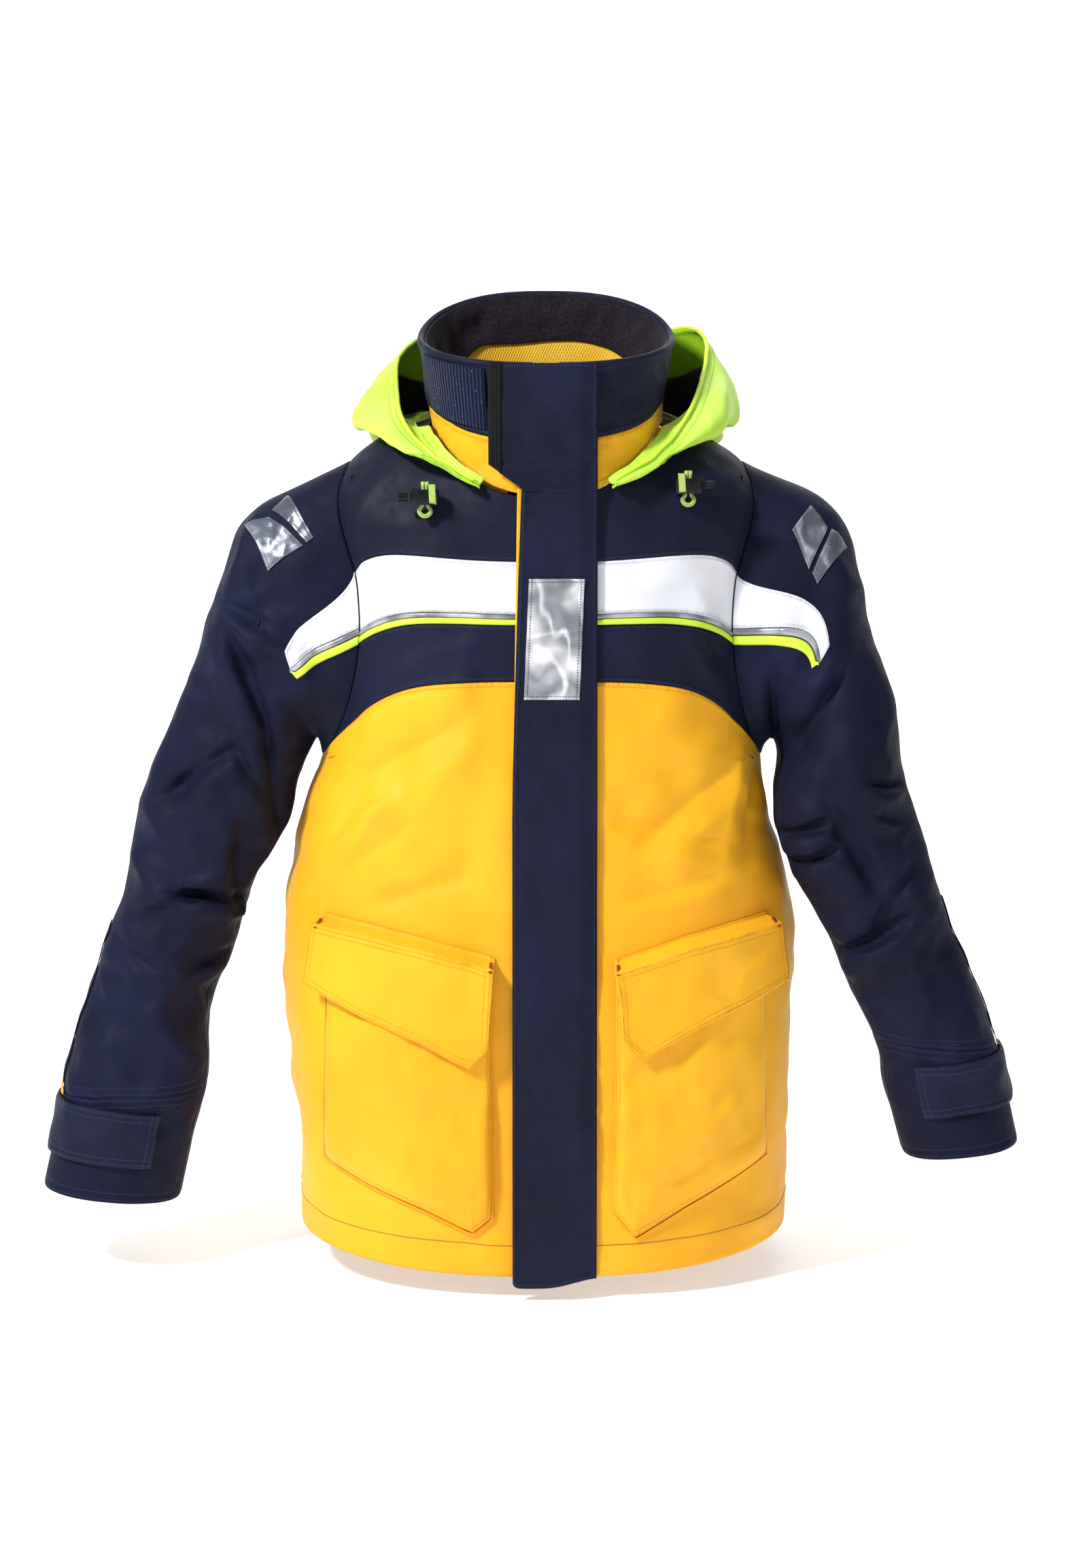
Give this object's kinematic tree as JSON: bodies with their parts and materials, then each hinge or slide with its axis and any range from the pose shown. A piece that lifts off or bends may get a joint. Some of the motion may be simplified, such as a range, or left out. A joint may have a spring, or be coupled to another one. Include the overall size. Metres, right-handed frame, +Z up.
{
  "type": "foul weather jacket",
  "caption": "Hip-length waterproof sailing jacket with a storm flap over a full zip, stand collar, unfurled hood, bellows pockets, cuff straps and reflective patches.",
  "frame": {"origin": "the hang loop inside the back of the neck, at the middle of the strap", "axes": "+Z up the jacket from hem to collar, -Y out of the front, +X towards the wearer's left sleeve"},
  "size_m": [0.896, 0.346, 0.8741],
  "materials": {
    "yellow_shell": "matte coated nylon, fine weave",
    "navy_shell": "matte coated nylon, fine weave",
    "white_shell": "matte coated nylon, fine weave",
    "lime_shell": "thin fluorescent coated nylon",
    "reflective_piping": "woven retroreflective piping",
    "lime_piping": "fluorescent piping",
    "lining": "smooth woven lining",
    "fleece": "brushed fleece",
    "hook_and_loop": "ribbed hook-and-loop pile",
    "black_tape": "woven tape",
    "black_plastic": "moulded acetal",
    "chest_film": "embossed retroreflective film, crinkled",
    "shoulder_film": "embossed retroreflective film, crinkled",
    "lime_cord": "elastic braided cord"
  },
  "bodies": {
    "jacket": {"front_lower_R": "yellow_shell", "front_lower_L": "yellow_shell", "back_lower": "yellow_shell", "collar_base": "yellow_shell", "pocket_bag_R": "yellow_shell", "pocket_bag_L": "yellow_shell", "accent_tab_R": "yellow_shell", "accent_tab_L": "yellow_shell", "front_yoke_R": "navy_shell", "front_yoke_L": "navy_shell", "back_yoke": "navy_shell", "chest_panel_R": "navy_shell", "chest_panel_L": "navy_shell", "collar_shell": "navy_shell", "inner_storm_flap": "navy_shell", "sleeve_upper_R": "navy_shell", "sleeve_upper_L": "navy_shell", "sleeve_cuff_R": "navy_shell", "sleeve_cuff_L": "navy_shell", "hang_loop": "navy_shell", "hood_lining": "navy_shell", "white_band_R": "white_shell", "white_band_L": "white_shell", "sleeve_band_R": "white_shell", "sleeve_band_L": "white_shell", "piping_grey_R": "reflective_piping", "piping_grey_L": "reflective_piping", "piping_lime_R": "lime_piping", "piping_lime_L": "lime_piping", "lining_front_R": "lining", "lining_front_L": "lining", "lining_back": "lining", "collar_lining": "fleece", "collar_loop_patch": "hook_and_loop", "zip_tape_R": "black_tape", "zip_tape_L": "black_tape", "zip_teeth_R": "black_plastic", "zip_teeth_L": "black_plastic", "cord_lock_R": "black_plastic", "cord_lock_L": "black_plastic", "shoulder_reflector_inner_R": "shoulder_film", "shoulder_reflector_outer_R": "shoulder_film", "shoulder_reflector_inner_L": "shoulder_film", "shoulder_reflector_outer_L": "shoulder_film", "hood_shell": "lime_shell", "hood_rim": "lime_shell", "hood_cord_R": "lime_cord", "hood_cord_L": "lime_cord"},
    "storm_flap": {"storm_flap": "navy_shell", "collar_tab": "navy_shell", "tab_binding": "black_tape", "chest_reflector": "chest_film"},
    "pocket_flap_R": {"pocket_flap_R": "yellow_shell"},
    "pocket_flap_L": {"pocket_flap_L": "yellow_shell"},
    "cuff_strap_R": {"cuff_strap_R": "navy_shell"},
    "cuff_strap_L": {"cuff_strap_L": "navy_shell"},
    "zip_slider": {"zip_slider": "black_plastic"},
    "zip_pull": {"zip_pull": "black_plastic"},
    "lock_button_R": {"cord_lock_button_R": "black_plastic"},
    "lock_button_L": {"cord_lock_button_L": "black_plastic"}
  },
  "joints": [
    {"name": "storm_flap_hinge", "type": "hinge", "parent": "jacket", "child": "storm_flap", "pos_m": [0.0455, -0.24161, -0.78386], "axis": [0, 0.0682, 0.9977], "range_deg": [0, 95]},
    {"name": "pocket_flap_hinge_R", "type": "hinge", "parent": "jacket", "child": "pocket_flap_R", "pos_m": [-0.04674, -0.24281, -0.49333], "axis": [-0.9352, 0.3117, 0.1683], "range_deg": [0, 100]},
    {"name": "pocket_flap_hinge_L", "type": "hinge", "parent": "jacket", "child": "pocket_flap_L", "pos_m": [0.06287, -0.2417, -0.49616], "axis": [-0.8981, -0.3955, -0.1922], "range_deg": [0, 100]},
    {"name": "cuff_strap_hinge_R", "type": "hinge", "parent": "jacket", "child": "cuff_strap_R", "pos_m": [-0.45207, -0.10084, -0.65763], "axis": [-0.2005, -0.1702, -0.9648], "range_deg": [0, 110]},
    {"name": "cuff_strap_hinge_L", "type": "hinge", "parent": "jacket", "child": "cuff_strap_L", "pos_m": [0.42059, -0.11275, -0.60813], "axis": [-0.2323, 0.1642, 0.9587], "range_deg": [0, 110]},
    {"name": "zip_slide", "type": "slide", "parent": "jacket", "child": "zip_slider", "axis": [0, -0.0682, -0.9977], "range_m": [0, 0.74]},
    {"name": "zip_pull_hinge", "type": "hinge", "parent": "zip_slider", "child": "zip_pull", "pos_m": [0, -0.18593, 0.01557], "axis": [1, 0, 0], "range_deg": [-1.8, 0]},
    {"name": "lock_button_press_R", "type": "slide", "parent": "jacket", "child": "lock_button_R", "axis": [1, 0, 0], "range_m": [0, 0.0022], "stiffness_N_per_m": 300, "springref_m": -0.002},
    {"name": "lock_button_press_L", "type": "slide", "parent": "jacket", "child": "lock_button_L", "axis": [-1, 0, 0], "range_m": [0, 0.0022], "stiffness_N_per_m": 300, "springref_m": -0.002}
  ]
}
